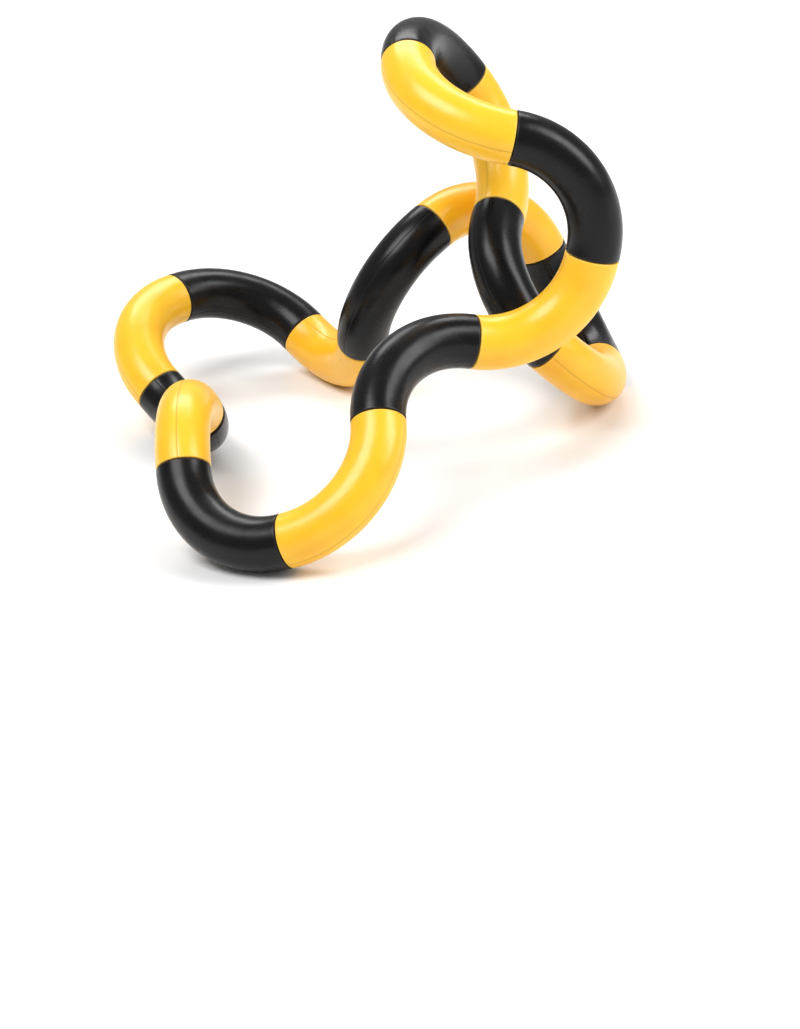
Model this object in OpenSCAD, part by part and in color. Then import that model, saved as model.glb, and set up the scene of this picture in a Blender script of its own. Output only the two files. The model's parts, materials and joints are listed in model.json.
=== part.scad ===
// Twisty snake puzzle: eighteen quarter-turn tube sections joined end to end in one endless loop,
// every joint a free swivel. Each section is two moulded half shells and the swivel pin that
// leads into the next section. Millimetres, +Z up, the loop standing on the floor at z = 0.
//
// Each section is drawn lying flat: it starts at the origin heading +X, bends left in the plane
// z = 0 and leaves at [reach, reach, 0] heading +Y. place[k] carries it into the loop.

/* [Section] */
// Outside diameter of the tube
tube_d = 12; // [9:0.5:15]
// Radius of the bend, to the middle of the tube
bend_r = 22; // [18:0.5:30]
// Thickness of the moulded wall
wall = 1.2; // [0.8:0.1:2]
// Straight collar at each end of a section
collar = 0.5; // [0.4:0.1:1]
// Chamfer of a section's end rims
rim = 0.3; // [0.1:0.05:0.35]
// Space between two sections' ends
joint_gap = 0.2; // [0.1:0.05:0.4]
// Width of the seam between the two half shells
seam_w = 0.2; // [0.1:0.05:0.5]
// Depth of that seam
seam_depth = 0.15; // [0.1:0.05:0.4]

/* [Swivel] */
// Diameter of the pin that two sections turn on
pin_d = 4; // [3.4:0.2:5]
// Space around the pin in the next section's bore, to each side
pin_play = 0.05; // [0.02:0.01:0.1]
// Diameter of the neck where the pin's own section grips it
neck_d = 3; // [2:0.2:3.2]
// Thickness of the wall that closes each end of a section
end_wall = 1.8; // [1.2:0.1:2.4]
// How far the root flange stands out past the neck, to each side
flange_lip = 1.2; // [0.8:0.1:1.5]
// Thickness of the root flange
flange_t = 1; // [0.8:0.1:1.4]
// How far the snap head stands out past the pin, to each side
head_lip = 0.5; // [0.3:0.1:0.7]
// Length of the snap head
head_len = 2.2; // [1.6:0.1:2.8]
// Play along the pin, behind its snap head
head_play = 0.15; // [0.1:0.05:0.3]
// Width of the two slots that let the snap head spring
slot_w = 0.8; // [0.5:0.1:1]
// How far the slots run on past the snap head
slot_run = 1; // [0.5:0.1:1.2]

/* [Pegs] */
// Diameter of the posts inside the half shells
post_d = 3; // [2.4:0.2:3.6]
// Diameter of the pegs on the peg half's posts
peg_d = 1.4; // [1:0.1:1.6]
// Length of those pegs
peg_len = 1.6; // [1:0.1:2.2]
// Space around a peg and past its end
peg_play = 0.05; // [0.03:0.01:0.1]
// Where along the bend the posts stand, in degrees
post_at = [32, 58];

/* [Pose] */
// Turn of each swivel, in degrees. Those in closing are nudged until the loop meets itself
twist = [-108, -10, -130, -139, -5, 105, 146, 124, -1, -69, -85, -37, -60, 20, -30, -169, 16, 44];
// The six swivels that close the loop, by number
closing = [1, 6, 9, 11, 17, 18];
// The three sections that rest on the floor, by number
feet = [6, 11, 15];
// Which way the loop faces, in degrees
facing = -95; // [-180:1:180]
// The swivel where the loop is left open, so that each of the others can turn by itself
open_swivel = 7; // [1:1:18]
// Extra space at that swivel
open_gap = 1; // [0.9:0.1:2]

/* [Hidden] */
count = 18;
numbers = [for (k = [1:count]) k];
function two(k) = k < 10 ? str("0", k) : str(k);
function peg_half_name(k) = str("section_", two(k), "_peg_half");
function socket_half_name(k) = str("section_", two(k), "_socket_half");
function pin_name(k) = str("section_", two(k), "_swivel_pin");

$fn = 96;
tube_r = tube_d / 2;
hollow_r = tube_r - wall;
pin_r = pin_d / 2;
neck_r = neck_d / 2;
start_face = joint_gap / 2;                  // from a joint's middle to a section's end
arc_start = start_face + collar;             // from a joint's middle to where the bend starts
reach = arc_start + bend_r;                  // from one joint to the next, along either leg
head_at = joint_gap + end_wall + head_play;  // from the face that the pin leaves to its snap head
yellow = [0.98, 0.8, 0.16];
black = [0.12, 0.12, 0.13];
white = [0.9, 0.9, 0.88];

// ---- Where each section goes ----

level = [[1, 0, 0, 0], [0, 1, 0, 0], [0, 0, 1, 0], [0, 0, 0, 1]];
function at(m) = [m[0][3], m[1][3], m[2][3]];
function column(m, c) = [m[0][c], m[1][c], m[2][c]];
function unit(v) = v / norm(v);

// Frame of the next section, seen from this one's, after a twist
function hop(a) = [[0, -cos(a), sin(a), reach], [1, 0, 0, reach], [0, sin(a), cos(a), 0], [0, 0, 0, 1]];
// Frames of all the sections, and after them the one that should be the first again
function walk(turns, m, k = 0) =
    k == len(turns) ? [m] : concat([m], walk(turns, m * hop(turns[k]), k + 1));

// How far the end of the walk misses its start: three lengths and three turns
function miss(f) = let (e = f[count])
    concat(at(e) / reach, [e[2][1] - e[1][2], e[0][2] - e[2][0], e[1][0] - e[0][1]] / 2);
// What a small turn of swivel j adds to that
function effect(f, j) = let (axis = column(f[j], 0))
    concat(cross(axis, at(f[count]) - at(f[j])) / reach, axis);
// The x for which a * x = b, by elimination from the row with the largest first entry
function solve(a, b) = len(b) == 1 ? [b[0] / a[0][0]] :
    let (
        last = len(b) - 1,
        largest = max([for (row = a) abs(row[0])]),
        p = [for (i = [0:last]) if (abs(a[i][0]) == largest) i][0],
        others = [for (i = [0:last]) if (i != p) i],
        rows = [for (i = others) [for (j = [1:last]) a[i][j] - a[i][0] / a[p][0] * a[p][j]]],
        sums = [for (i = others) b[i] - a[i][0] / a[p][0] * b[p]],
        x = solve(rows, sums)
    )
    concat([(b[p] - [for (j = [1:last]) a[p][j]] * x) / a[p][0]], x);
function nudge_of(j, nudges) = let (i = search(j, closing)) len(i) == 0 ? 0 : nudges[i[0]];
// The twists, with the closing ones nudged until the loop meets itself
function close_loop(turns, rounds) = rounds == 0 ? turns :
    let (
        f = walk(turns, level),
        effects = [for (j = closing) effect(f, j)],
        nudges = solve([for (r = [0:5]) [for (e = effects) e[r]]], -miss(f)) * 180 / PI
    )
    close_loop([for (j = numbers) turns[j - 1] + nudge_of(j, nudges)], rounds - 1);
loose = walk(close_loop(twist, 8), level);

// How far along its bend a section's middle line turns back on itself, seen along u, if it does
function turning(m, u) = let (a = column(m, 0) * u, b = column(m, 1) * u) a * b < 0 ? atan(-a / b) : 0;
function along_bend(m, angle) =
    at(m) + column(m, 0) * (arc_start + bend_r * sin(angle)) + column(m, 1) * bend_r * (1 - cos(angle));
// Up, for a loop that stands on its feet
function stand(u, rounds) = rounds == 0 ? u :
    let (
        low = [for (k = feet) along_bend(loose[k - 1], turning(loose[k - 1], u))],
        n = unit(cross(low[1] - low[0], low[2] - low[0]))
    )
    stand(n * u < 0 ? -n : n, rounds - 1);
up = stand([0, 0, 1], 12);
ahead = unit([1, 0, 0] - up[0] * up);
side = cross(up, ahead);
upright = [concat(ahead, 0), concat(side, 0), concat(up, 0), [0, 0, 0, 1]];
faced = [[cos(facing), -sin(facing), 0, 0], [sin(facing), cos(facing), 0, 0], [0, 0, 1, 0], [0, 0, 0, 1]];
stood = [for (k = numbers) faced * upright * loose[k - 1]];

// Lowest and highest place of the whole loop's middle line along an axis
function reaches(u) = let (s = [for (m = stood) along_bend(m, turning(m, u)) * u]) [min(s), max(s)];
span_x = reaches([1, 0, 0]);
span_y = reaches([0, 1, 0]);
span_z = reaches([0, 0, 1]);
shift = -[(span_x[0] + span_x[1]) / 2, (span_y[0] + span_y[1]) / 2, span_z[0] - tube_r];
centred = [[1, 0, 0, shift[0]], [0, 1, 0, shift[1]], [0, 0, 1, shift[2]], [0, 0, 0, 1]];
place = [for (m = stood) centred * m];

// ---- Shapes that the pieces share ----

function shortened(k) = k == open_swivel ? open_gap : 0;
function section_colour(k) = k % 2 == 1 ? yellow : black;

// A quarter of a ring, along the section's bend
module bend() {
    translate([arc_start, bend_r, 0]) rotate([0, 0, -90]) rotate_extrude(angle = 90)
        translate([bend_r, 0]) children();
}

// A collar along +Z with its outer rim chamfered at z = 0
module chamfered_collar() {
    rotate_extrude() polygon([[0, 0], [tube_r - rim, 0], [tube_r, rim], [tube_r, collar], [0, collar]]);
}

// Carries a shape drawn along +Z, with z = 0 on the section's starting face and the body above it
module at_start() {
    translate([start_face, 0, 0]) rotate([0, 90, 0]) children();
}

// The same at its other end: z = 0 on the end face and the body below it
module at_end(short) {
    translate([reach, reach - start_face - short, 0]) rotate([-90, 0, 0]) children();
}

// The outside of a section, filled
module section_body(short) {
    difference() {
        bend() circle(tube_r);
        if (short > 0) at_end(short) translate([-tube_d, -tube_d, -collar]) cube(2 * tube_d);
    }
    at_start() chamfered_collar();
    at_end(short) mirror([0, 0, 1]) chamfered_collar();
}

// The hollow inside it, between the two end walls
module section_hollow(short) {
    difference() {
        bend() circle(hollow_r);
        at_start() translate([-tube_d, -tube_d, end_wall - tube_d * 2]) cube(2 * tube_d);
        at_end(short) translate([-tube_d, -tube_d, -end_wall]) cube(2 * tube_d);
    }
}

// The bores in the end walls: free on the last section's pin, tight on the neck of its own
module pin_bores(short) {
    at_start() translate([0, 0, -1]) cylinder(h = end_wall + 2, r = pin_r + pin_play);
    at_end(short) translate([0, 0, -end_wall - 1]) cylinder(h = end_wall + 2, r = neck_r);
}

// The shallow groove where the two half shells meet
module seam() {
    for (side = [-1, 1]) bend() translate([side * tube_r, 0]) square([2 * seam_depth, seam_w], center = true);
}

// Both half shells as one, before the split
module section_shell(short) {
    difference() {
        section_body(short);
        section_hollow(short);
        pin_bores(short);
        seam();
    }
}

// Everything above the plane of the bend, or below it
module above() {
    translate([-tube_d, -tube_d, 0]) cube([reach + 2 * tube_d, reach + 2 * tube_d, tube_d]);
}
module below() {
    mirror([0, 0, 1]) above();
}

// Stands its children on the bend's middle line at each post
module at_posts() {
    for (angle = post_at)
        translate([arc_start + bend_r * sin(angle), bend_r * (1 - cos(angle)), 0]) children();
}

// ---- The pieces ----

// The half shell above the bend's plane, with the pegs
module peg_half(k) {
    color(section_colour(k)) multmatrix(place[k - 1]) {
        intersection() {
            section_shell(shortened(k));
            above();
        }
        at_posts() {
            cylinder(h = tube_r - wall / 2, d = post_d);
            translate([0, 0, -peg_len]) cylinder(h = peg_len + 1, d = peg_d);
        }
    }
}

// The half shell below it, with a socket for each peg
module socket_half(k) {
    color(section_colour(k)) multmatrix(place[k - 1]) {
        intersection() {
            section_shell(shortened(k));
            below();
        }
        at_posts() difference() {
            translate([0, 0, wall / 2 - tube_r]) cylinder(h = tube_r - wall / 2, d = post_d);
            translate([0, 0, -peg_len - peg_play]) cylinder(h = peg_len + 1, d = peg_d + 2 * peg_play);
        }
    }
}

// The pin: its own section's end wall grips the neck, the next section turns on the journal behind
// the split snap head. At the open swivel it ends flush with its own section
module swivel_pin(k) {
    color(white) multmatrix(place[k - 1]) at_end(shortened(k)) {
        translate([0, 0, -end_wall - flange_t]) cylinder(h = flange_t, r = neck_r + flange_lip);
        translate([0, 0, -end_wall]) cylinder(h = end_wall, r = neck_r);
        if (k != open_swivel) difference() {
            rotate_extrude() polygon([
                [0, 0], [pin_r, 0], [pin_r, head_at], [pin_r + head_lip, head_at],
                [pin_r + head_lip, head_at + head_len / 4], [pin_r - head_lip, head_at + head_len],
                [0, head_at + head_len]
            ]);
            for (turn = [0, 90]) rotate([0, 0, turn])
                translate([-tube_r, -slot_w / 2, head_at - slot_run])
                    cube([tube_d, slot_w, slot_run + head_len + 1]);
        }
    }
}

for (k = numbers) {
    peg_half(k);
    socket_half(k);
    swivel_pin(k);
}
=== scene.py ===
import json
import math
import random
import bmesh
import bpy
from mathutils import Matrix, Vector


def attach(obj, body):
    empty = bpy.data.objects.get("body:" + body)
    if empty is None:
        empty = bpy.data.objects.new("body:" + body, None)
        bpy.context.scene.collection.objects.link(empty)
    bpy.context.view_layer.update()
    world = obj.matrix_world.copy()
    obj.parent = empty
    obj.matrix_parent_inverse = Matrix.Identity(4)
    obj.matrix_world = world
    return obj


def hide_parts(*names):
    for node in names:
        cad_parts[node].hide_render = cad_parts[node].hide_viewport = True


# Twisty snake puzzle: eighteen quarter-bend tubes, yellow and black in turn, in one endless loop.
# The CAD frame says where every joint is. Both half shells of each section are made again here
# with softened edges and a finer surface; the swivel pins stay as the frame has them.

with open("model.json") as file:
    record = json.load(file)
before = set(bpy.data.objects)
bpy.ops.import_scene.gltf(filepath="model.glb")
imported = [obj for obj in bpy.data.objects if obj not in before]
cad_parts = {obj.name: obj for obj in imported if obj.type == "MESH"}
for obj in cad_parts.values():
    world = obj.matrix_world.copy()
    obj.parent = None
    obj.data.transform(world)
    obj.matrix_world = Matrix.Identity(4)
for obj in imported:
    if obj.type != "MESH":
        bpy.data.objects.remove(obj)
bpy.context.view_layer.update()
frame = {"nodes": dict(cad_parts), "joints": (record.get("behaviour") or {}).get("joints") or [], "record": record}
mm = 0.001


# A socket that plain Python operators turn into Math nodes
class Wire:
    def __init__(self, graph, socket):
        self.graph = graph
        self.socket = socket

    def maths(self, operation, first, second):
        return self.graph.node("ShaderNodeMath", {"operation": operation}, {0: first, 1: second})

    def __add__(self, other):
        return self.maths("ADD", self, other)

    def __radd__(self, other):
        return self.maths("ADD", other, self)

    def __sub__(self, other):
        return self.maths("SUBTRACT", self, other)

    def __rsub__(self, other):
        return self.maths("SUBTRACT", other, self)

    def __mul__(self, other):
        return self.maths("MULTIPLY", self, other)

    def __rmul__(self, other):
        return self.maths("MULTIPLY", other, self)


# One material's node tree
class Graph:
    def __init__(self, name):
        self.material = bpy.data.materials.new(name)
        self.material.use_nodes = True
        self.tree = self.material.node_tree
        self.tree.nodes.clear()

    def node(self, kind, settings=None, sockets=None, output=0):
        made = self.tree.nodes.new(kind)
        for setting, value in (settings or {}).items():
            setattr(made, setting, value)
        for name, value in (sockets or {}).items():
            if isinstance(value, Wire):
                self.tree.links.new(value.socket, made.inputs[name])
            else:
                made.inputs[name].default_value = value
        return Wire(self, made.outputs[output]) if made.outputs else None

    def noise(self, place, scale, detail=2.0, distortion=0.0):
        return self.node("ShaderNodeTexNoise", None, {
            "Vector": place, "Scale": scale, "Detail": detail, "Distortion": distortion}, "Fac")

    def smooth(self, value, low, high):
        # 0 below low, 1 above high, eased in between
        return self.node("ShaderNodeMapRange", {"interpolation_type": "SMOOTHSTEP"}, {
            "Value": value, "From Min": low, "From Max": high})

    def blend(self, factor, first, second):
        return self.node("ShaderNodeMix", {"data_type": "RGBA"}, {0: factor, 6: first, 7: second}, 2)

    def stretched(self, place, turn, scale):
        return self.node("ShaderNodeMapping", None, {"Vector": place, "Rotation": turn, "Scale": scale})

    def attribute(self, name):
        return self.node("ShaderNodeAttribute", {"attribute_name": name}, None, "Fac")

    def finish(self, surface):
        self.node("ShaderNodeOutputMaterial", None, {"Surface": surface})
        return self.material


yellowAbs = {
    "name": "yellowPlastic",
    "colour": (0.94, 0.52, 0.018, 1),
    "deep": (0.92, 0.46, 0.012, 1),      # where the pigment reads a little stronger
    "wornAndHighlight": (0.98, 0.74, 0.22, 1),       # rims rubbed by the next section, and painted paler there as a highlight on the rim
    "grime": (0.42, 0.24, 0.03, 1),      # what settles in the seam
    "roughness": 0.30,
    "subsurface": 0.10,
    "ior": 1.5,
}
blackAbs = {
    "name": "blackPlastic",
    "colour": (0.0030, 0.0030, 0.0036, 1),
    "deep": (0.0020, 0.0020, 0.0025, 1),
    # paler rims: rubbing, and a painted highlight on the rim
    "wornAndHighlight": (0.045, 0.045, 0.048, 1),
    "grime": (0.03, 0.028, 0.026, 1),
    "roughness": 0.27,
    "subsurface": 0.0,
    "ior": 1.33,
}


mould = {
    # how many features of each kind there are in a millimetre
    "ripple": 0.16,
    "peel": 0.9,
    "grain": 7.0,
    "fingerMarks": 0.11,
    # hairline scratches in two directions: how they lie, and how they are stretched
    "scratches": (((0.4, 0.9, 0.2), (0.22, 6.0, 6.0)), ((1.7, 0.3, 1.1), (0.18, 5.0, 5.0))),
    "reliefDepth": 0.12 * mm,
    "rimWearAndHighlight": (0.05, 0.55),       # how far the rubbing and the painted rim highlight reach from a rim, in millimetres
    "seamDirt": (0.03, 0.09),     # how far the dirt reaches from the seam
    "glowRadius": (1.0, 0.6, 0.15),
    "glowDepth": 2.5 * mm,
}


def mouldedPlastic(look):
    # glossy moulded ABS: a faint ripple from the mould, finger marks, hairline scratches, rubbed rims that are
    # also painted paler as a highlight
    graph = Graph(look["name"])
    spot = graph.node("ShaderNodeTexCoord", None, None, "Object")
    place = graph.node("ShaderNodeVectorMath", {"operation": "SCALE"}, {0: spot, "Scale": 1 / mm})
    tone = graph.attribute("tone")
    toRim = graph.attribute("toRim")
    toSeam = graph.attribute("toSeam")

    ripple = graph.noise(place, mould["ripple"], 1.5)
    peel = graph.noise(place, mould["peel"])
    grain = graph.noise(place, mould["grain"], 3.0)
    marks = graph.smooth(graph.noise(place, mould["fingerMarks"], 4.0, 0.8), 0.48, 0.68)
    fine, crossing = (graph.noise(graph.stretched(place, *lie), 1.0) for lie in mould["scratches"])
    scratches = graph.smooth(fine, 0.68, 0.74) + graph.smooth(crossing, 0.70, 0.76)
    # paler near each rim: partly wear, partly a painted highlight on the rounded rim
    rubbedAndHighlight = (1 - graph.smooth(toRim, *mould["rimWearAndHighlight"])) * graph.smooth(grain, 0.35, 0.65)
    dusty = 1 - graph.smooth(toSeam, *mould["seamDirt"])

    mottle = graph.smooth(ripple * 0.6 + tone * 0.4, 0.30, 0.72)
    body = graph.blend(mottle, look["colour"], look["deep"])
    body = graph.blend(rubbedAndHighlight * 0.45, body, look["wornAndHighlight"])
    body = graph.blend(scratches * 0.10, body, look["wornAndHighlight"])
    body = graph.blend(dusty * 0.75, body, look["grime"])
    roughness = look["roughness"] + marks * 0.05 + (grain - 0.5) * 0.05
    roughness = roughness + scratches * 0.08 + rubbedAndHighlight * 0.12 + dusty * 0.3
    height = ripple + peel * 0.10 + grain * 0.012 - scratches * 0.02
    normal = graph.node("ShaderNodeBump", None, {"Height": height, "Distance": mould["reliefDepth"]})
    shader = graph.node("ShaderNodeBsdfPrincipled", None, {
        "Base Color": body, "Roughness": roughness, "Normal": normal, "IOR": look["ior"],
        "Subsurface Weight": look["subsurface"], "Subsurface Radius": mould["glowRadius"],
        "Subsurface Scale": mould["glowDepth"]})
    return graph.finish(shader)


acetal = {
    "name": "pinPlastic",
    "colour": (0.74, 0.73, 0.68, 1),
    "shade": (0.62, 0.60, 0.54, 1),
    "roughness": 0.42,
    "ior": 1.48,
    "cloud": 0.8,          # features in a millimetre
    "grain": 12.0,
    "reliefDepth": 0.03 * mm,
}


def pinPlastic(look):
    # natural acetal: waxy and a little cloudy
    graph = Graph(look["name"])
    spot = graph.node("ShaderNodeTexCoord", None, None, "Object")
    place = graph.node("ShaderNodeVectorMath", {"operation": "SCALE"}, {0: spot, "Scale": 1 / mm})
    cloud = graph.noise(place, look["cloud"], 3.0)
    grain = graph.noise(place, look["grain"])
    body = graph.blend(graph.smooth(cloud, 0.35, 0.7), look["colour"], look["shade"])
    height = cloud * 0.5 + grain * 0.1
    normal = graph.node("ShaderNodeBump", None, {"Height": height, "Distance": look["reliefDepth"]})
    shader = graph.node("ShaderNodeBsdfPrincipled", None, {
        "Base Color": body, "Roughness": look["roughness"] + (grain - 0.5) * 0.15, "Normal": normal,
        "IOR": look["ior"]})
    return graph.finish(shader)


yellow = mouldedPlastic(yellowAbs)
black = mouldedPlastic(blackAbs)
white = pinPlastic(acetal)
print("materials made")


loop = {
    "sections": 18,
    "openJoint": 7,        # the loop is left open here; its place is given by the open socket
}
shell = {
    "tubeRadius": 6 * mm,
    "bendRadius": 22 * mm,
    "hollowRadius": 4.8 * mm,
    "collar": 0.5 * mm,          # straight stretch at each end
    "jointGap": 0.2 * mm,
    "endWall": 1.8 * mm,
    "socketBore": 2.05 * mm,     # turns on the last section's pin
    "neckBore": 1.5 * mm,        # grips this section's own pin
    "rimRound": 0.3 * mm,
    "seamHalf": 0.04 * mm,       # half of the seam's width
    "seamDepth": 0.06 * mm,
    "seamRound": 0.04 * mm,
    "step": 0.1 * mm,            # how far the outside is drawn ahead of or behind a step inside
    "openShort": 1 * mm,         # how much shorter a section ends at the open joint
    "bendSteps": 46,
    "aroundSteps": 36,
    "rimSteps": 6,
    "smoothAngle": 38,
}
post = {
    "radius": 1.5 * mm,
    "pegRadius": 0.7 * mm,
    "pegLength": 1.6 * mm,
    "play": 0.05 * mm,
    "chamfer": 0.15 * mm,
    "angles": (32, 58),
    "around": 28,
}
startFace = shell["jointGap"] / 2
arcStart = startFace + shell["collar"]


def jointPlaces():
    # each joint's middle, and the line that the tubes run along through it
    places = {}
    for joint in frame["joints"]:
        places[int(joint["name"][-2:])] = (Vector(joint["pos_m"]), Vector(joint["axis"]))
    socket = frame["record"]["mounts"][0]
    outwards = Vector(socket["axis"])
    middle = Vector(socket["pos_m"]) + outwards * (startFace + shell["endWall"] / 2)
    places[loop["openJoint"]] = (middle, outwards)
    return places


def sectionPlace(places, number):
    # a section's own frame: it starts at the origin along X, bends towards Y and leaves along Y
    start, startLine = places[(number - 2) % loop["sections"] + 1]
    end, endLine = places[number]
    across = end - start
    ahead = startLine if startLine.dot(across) > 0 else -startLine
    leaving = endLine if endLine.dot(across) > 0 else -endLine
    place = Matrix((ahead, leaving, ahead.cross(leaving))).transposed().to_4x4()
    place.translation = start
    return place


def alongBend(travel, short):
    # middle of the tube after that much travel from the starting face, and the way it heads
    turn = math.pi / 2 - math.asin(short / shell["bendRadius"])
    bendLength = turn * shell["bendRadius"]
    angle = min(max(0, travel - shell["collar"]) / shell["bendRadius"], turn)
    straight = min(0, travel - shell["collar"])
    past = max(0, travel - shell["collar"] - bendLength)
    middle = Vector((arcStart + straight + shell["bendRadius"] * math.sin(angle),
                     shell["bendRadius"] * (1 - math.cos(angle)) + past, 0))
    heading = math.pi / 2 if past > 0 else angle
    return middle, heading


def outerRing(shrink):
    # half of the tube's outline from its outer seam over to its inner one: outwards, up
    radius = shell["tubeRadius"] - shrink
    foot = min(shell["tubeRadius"] - shell["seamDepth"], radius - 0.02 * mm)
    shelf = shell["seamHalf"]
    eased = math.asin((shelf + shell["seamRound"]) / radius)
    lip = math.sqrt(radius ** 2 - shelf ** 2) - shell["seamRound"]
    side = [(foot, 0), (foot, shelf), (max(foot, lip), shelf)]
    soft = (radius * math.cos(eased) - 0.2 * shell["seamRound"], shelf + 0.45 * shell["seamRound"])
    side.append((max(foot, soft[0]), soft[1]))
    steps = shell["aroundSteps"]
    arc = []
    for i in range(steps + 1):
        angle = eased + (math.pi - 2 * eased) * i / steps
        arc.append((radius * math.cos(angle), radius * math.sin(angle)))
    return side + arc + [(-out, up) for out, up in reversed(side)]


def innerRing(radius, count):
    ring = []
    for i in range(count):
        angle = math.pi * i / (count - 1)
        ring.append((radius * math.cos(angle), radius * math.sin(angle)))
    return ring


def stations(short):
    # from end to end: travel of the outside, how far its rim is drawn in, travel and radius inside
    turn = math.pi / 2 - math.asin(short / shell["bendRadius"])
    length = 2 * shell["collar"] + turn * shell["bendRadius"]
    rim = []
    for i in range(shell["rimSteps"] + 1):
        angle = math.pi / 2 * i / shell["rimSteps"]
        rim.append((shell["rimRound"] * (1 - math.cos(angle)), shell["rimRound"] * (1 - math.sin(angle))))
    wall, bore, neck = shell["endWall"], shell["socketBore"], shell["neckBore"]
    row = [(travel, shrink, travel, bore) for travel, shrink in rim]
    row.append((shell["collar"], 0, shell["collar"], bore))
    first, last = wall + shell["step"], length - wall - shell["step"]
    row.append((wall - shell["step"], 0, wall, bore))
    row.append((first, 0, wall, shell["hollowRadius"]))
    for i in range(1, shell["bendSteps"]):
        travel = first + (last - first) * i / shell["bendSteps"]
        row.append((travel, 0, travel, shell["hollowRadius"]))
    row.append((last, 0, length - wall, shell["hollowRadius"]))
    row.append((length - wall + shell["step"], 0, length - wall, neck))
    row.append((length - shell["collar"], 0, length - shell["collar"], neck))
    row.extend((length - travel, shrink, length - travel, neck) for travel, shrink in reversed(rim))
    return row


def sweepShell(side, short):
    # one half shell in its section's own frame; side is 1 above the plane of the bend, -1 below it
    made = bmesh.new()
    rows = []
    for travel, shrink, innerTravel, innerRadius in stations(short):
        outline = outerRing(shrink)
        rings = ((travel, outline), (innerTravel, innerRing(innerRadius, len(outline))))
        row = []
        for distance, ring in rings:
            middle, heading = alongBend(distance, short)
            outwards = Vector((math.sin(heading), -math.cos(heading), 0))
            row.append([made.verts.new(middle + outwards * out + Vector((0, 0, side * up)))
                        for out, up in ring])
        rows.append(row[0] + row[1][::-1])
    count = len(rows[0])
    for this, following in zip(rows, rows[1:]):
        for i in range(count):
            j = (i + 1) % count
            made.faces.new((this[i], this[j], following[j], following[i]))
    half = count // 2
    for row in (rows[0], rows[-1]):
        for i in range(half - 1):
            made.faces.new((row[i], row[i + 1], row[count - 2 - i], row[count - 1 - i]))
    bmesh.ops.recalc_face_normals(made, faces=made.faces)
    mesh = bpy.data.meshes.new("sweep")
    made.to_mesh(mesh)
    made.free()
    return mesh


def turned(name, profile, around, middle=Vector()):
    # a surface of revolution about Z through middle, from (radius, height) pairs
    made = bmesh.new()
    rings = []
    for radius, height in profile:
        ring = []
        for i in range(around if radius else 1):
            angle = 2 * math.pi * i / around
            spot = Vector((radius * math.cos(angle), radius * math.sin(angle), height))
            ring.append(made.verts.new(middle + spot))
        rings.append(ring)
    for this, following in zip(rings, rings[1:]):
        for i in range(around):
            j = (i + 1) % around
            corners = [this[i % len(this)], this[j % len(this)],
                       following[j % len(following)], following[i % len(following)]]
            made.faces.new(list(dict.fromkeys(corners)))
    bmesh.ops.recalc_face_normals(made, faces=made.faces)
    mesh = bpy.data.meshes.new(name)
    made.to_mesh(mesh)
    made.free()
    return mesh


def postProfile(side):
    # the peg half's posts end in pegs, the socket half's in blind holes that take them
    top = shell["tubeRadius"] - (shell["tubeRadius"] - shell["hollowRadius"]) / 2
    peg, length, chamfer, play = post["pegRadius"], post["pegLength"], post["chamfer"], post["play"]
    if side > 0:
        return [(0, -length), (peg - chamfer, -length), (peg, chamfer - length), (peg, 0),
                (post["radius"], 0), (post["radius"], top), (0, top)]
    hole = peg + play
    return [(0, -length - play), (hole, -length - play), (hole, -chamfer), (hole + chamfer, 0),
            (post["radius"], 0), (post["radius"], -top), (0, -top)]


def joined(mesh, extras):
    # the shell and its posts as one solid
    scene = bpy.context.scene.collection
    whole = bpy.data.objects.new("whole", mesh)
    scene.objects.link(whole)
    helpers = []
    for extra in extras:
        helper = bpy.data.objects.new("helper", extra)
        scene.objects.link(helper)
        helpers.append(helper)
        union = whole.modifiers.new("post", "BOOLEAN")
        union.operation = "UNION"
        union.solver = "EXACT"
        union.object = helper
    bpy.context.view_layer.update()
    evaluated = whole.evaluated_get(bpy.context.evaluated_depsgraph_get())
    result = bpy.data.meshes.new_from_object(evaluated)
    for thing in helpers + [whole]:
        bpy.data.objects.remove(thing)
    return result


def halfShell(side, short):
    posts = []
    for angle in post["angles"]:
        travel = shell["collar"] + math.radians(angle) * shell["bendRadius"]
        middle = alongBend(travel, short)[0]
        posts.append(turned("post", postProfile(side), post["around"], middle))
    mesh = joined(sweepShell(side, short), posts)
    mesh.shade_smooth()
    mesh.set_sharp_from_angle(angle=math.radians(shell["smoothAngle"]))
    rimward = mesh.attributes.new("toRim", "FLOAT", "POINT")
    seamward = mesh.attributes.new("toSeam", "FLOAT", "POINT")
    endFace = arcStart + shell["bendRadius"] - startFace - short
    for i, vertex in enumerate(mesh.vertices):
        spot = vertex.co
        rimward.data[i].value = max(0, min(spot.x - startFace, endFace - spot.y)) / mm
        seamward.data[i].value = abs(spot.z) / mm
    return mesh


halves = {}
for side in (1, -1):
    for short in (0, shell["openShort"]):
        halves[side, short] = halfShell(side, short)
print("half shells swept:", [len(mesh.polygons) for mesh in halves.values()], "faces")


def placeSection(places, number, shade):
    place = sectionPlace(places, number)
    body = "section_%02d" % number
    short = shell["openShort"] if number == loop["openJoint"] else 0
    plastic, slotName = (yellow, "yellow_plastic") if number % 2 else (black, "black_plastic")
    for side, half in ((1, "peg_half"), (-1, "socket_half")):
        mesh = halves[side, short].copy()
        mesh.transform(place)
        tone = mesh.attributes.new("tone", "FLOAT", "POINT")
        tone.data.foreach_set("value", [shade] * len(mesh.vertices))
        mesh.materials.clear()
        mesh.materials.append(plastic)
        name = body + "_" + half
        piece = bpy.data.objects.new(name + "_shell", mesh)
        bpy.context.scene.collection.objects.link(piece)
        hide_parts(name)
        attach(piece, body)
    pin = frame["nodes"][body + "_swivel_pin"]
    for slot in pin.material_slots:
        slot.material = white


places = jointPlaces()
batch = random.Random(18)
for number in range(1, loop["sections"] + 1):
    placeSection(places, number, batch.random())
print("sections placed")


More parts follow.
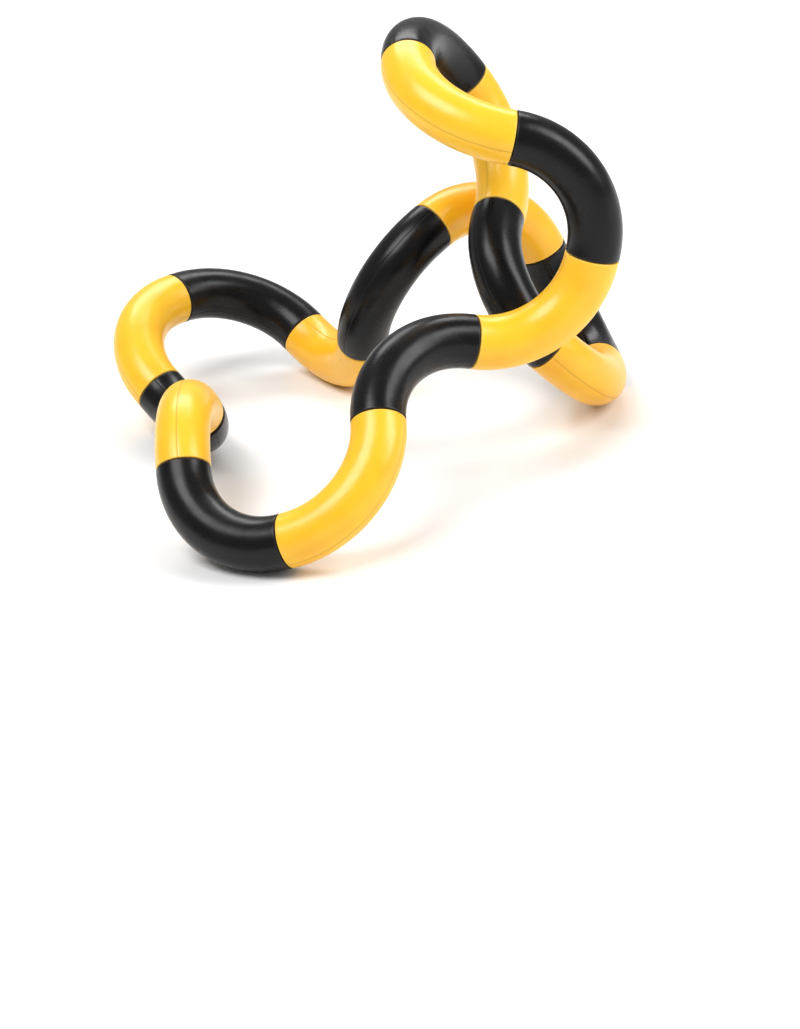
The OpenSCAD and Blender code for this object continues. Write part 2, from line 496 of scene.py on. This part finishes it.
studio = {
    "floorRadius": 1.6,           # flat out to here, then it sweeps up
    "sweepRadius": 1.4,
    "sweepTurn": 60,
    "sweepSteps": 12,
    "sweepSides": 96,
    "floorColour": (0.90, 0.90, 0.90, 1),
    "fibreColour": (0.885, 0.885, 0.885, 1),
    "skyColour": (1.0, 1.0, 1.0, 1),
    "skyStrength": 0.38,
    "aim": Vector((0, 0, 0.045)),
    "lamps": {
        # place, width, height, watts
        "keyBox": (Vector((-0.38, -0.28, 0.85)), 0.60, 0.45, 7.0),
        "rightBox": (Vector((0.80, -0.20, 0.60)), 0.35, 0.70, 6.5),
        "backBox": (Vector((0.05, 0.75, 0.80)), 0.90, 0.30, 6.0),
    },
}


def paperSweep():
    # a round pale floor that curves up all the way round
    profile = [(0, 0), (studio["floorRadius"] / 2, 0), (studio["floorRadius"], 0)]
    for i in range(1, studio["sweepSteps"] + 1):
        angle = math.radians(studio["sweepTurn"]) * i / studio["sweepSteps"]
        profile.append((studio["floorRadius"] + studio["sweepRadius"] * math.sin(angle),
                        studio["sweepRadius"] * (1 - math.cos(angle))))
    mesh = turned("paperSweep", profile, studio["sweepSides"])
    mesh.shade_smooth()
    graph = Graph("palePaper")
    spot = graph.node("ShaderNodeTexCoord", None, None, "Object")
    fibre = graph.noise(spot, 900.0, 3.0)
    tint = graph.blend(fibre, studio["floorColour"], studio["fibreColour"])
    normal = graph.node("ShaderNodeBump", None, {"Height": fibre, "Distance": 0.02 * mm})
    shader = graph.node("ShaderNodeBsdfPrincipled", None, {
        "Base Color": tint, "Roughness": 0.6, "Normal": normal, "Specular IOR Level": 0.25})
    mesh.materials.append(graph.finish(shader))
    floor = bpy.data.objects.new("floor", mesh)
    bpy.context.scene.collection.objects.link(floor)


def softBox(name, place, width, height, watts):
    data = bpy.data.lights.new(name, "AREA")
    data.shape = "RECTANGLE"
    data.size, data.size_y, data.energy = width, height, watts
    lamp = bpy.data.objects.new(name, data)
    bpy.context.scene.collection.objects.link(lamp)
    lamp.location = place
    lamp.rotation_euler = (studio["aim"] - place).to_track_quat("-Z", "Y").to_euler()


def sky():
    world = bpy.data.worlds.new("studio")
    bpy.context.scene.world = world
    world.use_nodes = True
    background = world.node_tree.nodes["Background"]
    background.inputs["Color"].default_value = studio["skyColour"]
    background.inputs["Strength"].default_value = studio["skyStrength"]


paperSweep()
for name, values in studio["lamps"].items():
    softBox(name, *values)
sky()
bpy.context.scene.view_settings.view_transform = "Standard"
print("studio set")


eye = {
    "place": Vector((-0.0069, -0.7502, 0.3208)),
    "azimuth": 0.754,      # degrees to the right of +Y
    "down": 24.228,
    "roll": -6.637,        # the camera leans to its right
    "lens": 125.57,
}


def lookThrough():
    data = bpy.data.cameras.new("camera")
    data.lens = eye["lens"]
    data.clip_start, data.clip_end = 0.02, 20
    camera = bpy.data.objects.new("camera", data)
    bpy.context.scene.collection.objects.link(camera)
    aside = Matrix.Rotation(math.radians(-eye["azimuth"]), 4, "Z")
    raised = Matrix.Rotation(math.radians(90 - eye["down"]), 4, "X")
    lean = Matrix.Rotation(math.radians(eye["roll"]), 4, "Z")
    camera.matrix_world = Matrix.Translation(eye["place"]) @ aside @ raised @ lean
    bpy.context.scene.camera = camera


lookThrough()
